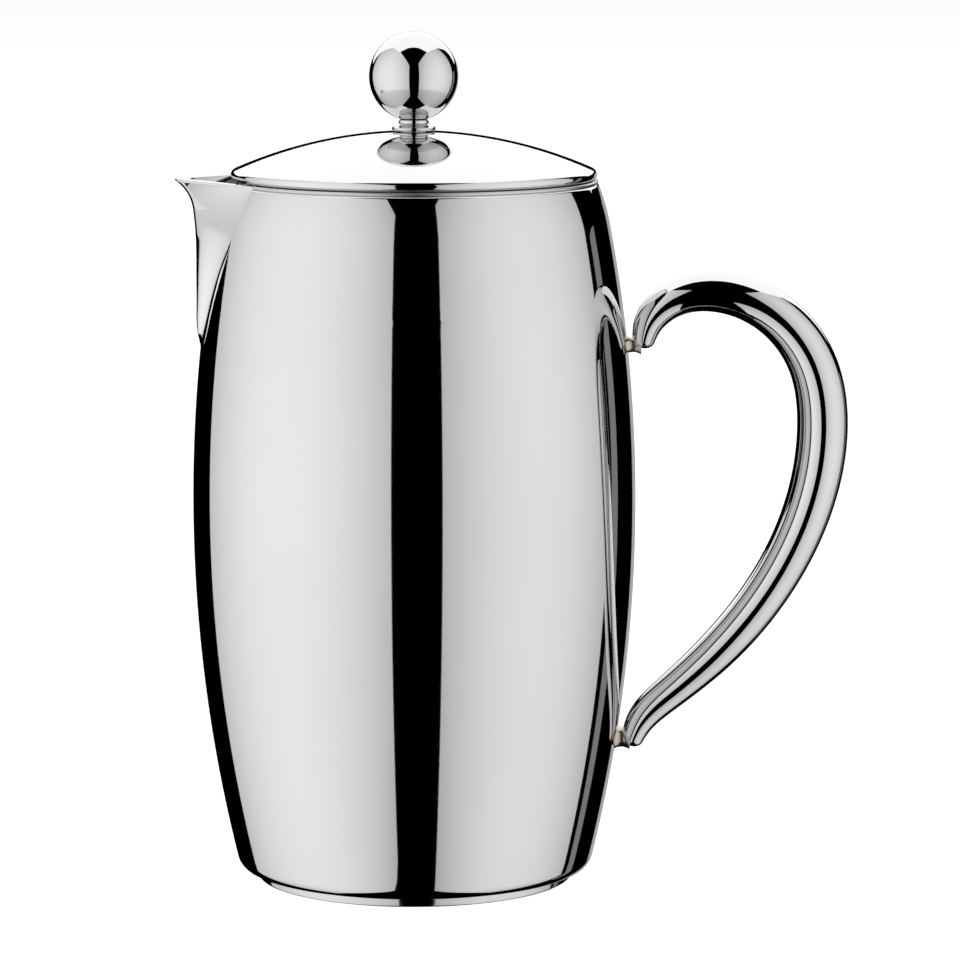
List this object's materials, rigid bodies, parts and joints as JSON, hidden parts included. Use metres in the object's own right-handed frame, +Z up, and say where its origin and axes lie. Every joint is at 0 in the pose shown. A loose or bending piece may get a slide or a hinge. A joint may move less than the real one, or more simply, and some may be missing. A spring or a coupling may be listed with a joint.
{
  "type": "french press",
  "caption": "Polished steel french press: double-walled barrel pot with a beak spout and D handle, domed lid, and a ball-knobbed plunger with its filter stack.",
  "frame": {"origin": "on the pot's axis, in the plane the foot stands on", "axes": "+Z up along the pot's axis, +X towards the handle, -X towards the spout, +Y to the back"},
  "size_m": [0.1729, 0.114, 0.2186],
  "materials": {
    "pot_polish": "mirror-polished stainless steel",
    "foot_polish": "mirror-polished stainless steel",
    "vessel_steel": "satin drawn stainless steel",
    "spout_polish": "mirror-polished stainless steel",
    "handle_polish": "mirror-polished stainless steel",
    "weld_steel": "heat-tinted stainless steel at the weld",
    "lid_polish": "mirror-polished stainless steel",
    "skirt_steel": "satin stainless steel",
    "bush_steel": "turned and polished stainless steel",
    "rod_steel": "ground stainless steel bar",
    "knob_polish": "mirror-polished stainless steel",
    "plate_steel": "pressed stainless sheet",
    "mesh_steel": "fine woven stainless wire",
    "spring_steel": "stainless spring wire"
  },
  "bodies": {
    "pot": {"outer_shell": "pot_polish", "base_cap": "foot_polish", "inner_vessel": "vessel_steel", "spout_throat": "vessel_steel", "spout": "spout_polish", "handle": "handle_polish", "handle_upper_stub": "weld_steel", "handle_lower_stub": "weld_steel"},
    "bush": {"guide_bush": "bush_steel", "bush_nut": "rod_steel"},
    "lid": {"lid_dome": "lid_polish", "lid_skirt": "skirt_steel"},
    "plunger": {"plunger_rod": "rod_steel", "knob_collar": "knob_polish", "rod_collar": "rod_steel"},
    "knob": {"ball_knob": "knob_polish"},
    "filter": {"filter_nut": "rod_steel", "cross_plate": "plate_steel", "mesh_screen": "mesh_steel", "screen_rim": "plate_steel", "spiral_plate": "plate_steel", "edge_spring": "spring_steel"}
  },
  "joints": [
    {"name": "lid_lift", "type": "slide", "parent": "pot", "child": "bush", "axis": [0, 0, 1], "range_m": [0, 0.2]},
    {"name": "lid_turn", "type": "hinge", "parent": "bush", "child": "lid", "pos_m": [0, 0, 0.19], "axis": [0, 0, 1], "continuous": true},
    {"name": "plunger_slide", "type": "slide", "parent": "bush", "child": "plunger", "axis": [0, 0, 1], "range_m": [0, 0.13]},
    {"name": "knob_unscrew", "type": "hinge", "parent": "plunger", "child": "knob", "pos_m": [0, 0, 0.2071], "axis": [0, 0, 1], "continuous": true},
    {"name": "filter_unscrew", "type": "hinge", "parent": "plunger", "child": "filter", "pos_m": [0, 0, 0.024], "axis": [0, 0, 1], "continuous": true}
  ]
}
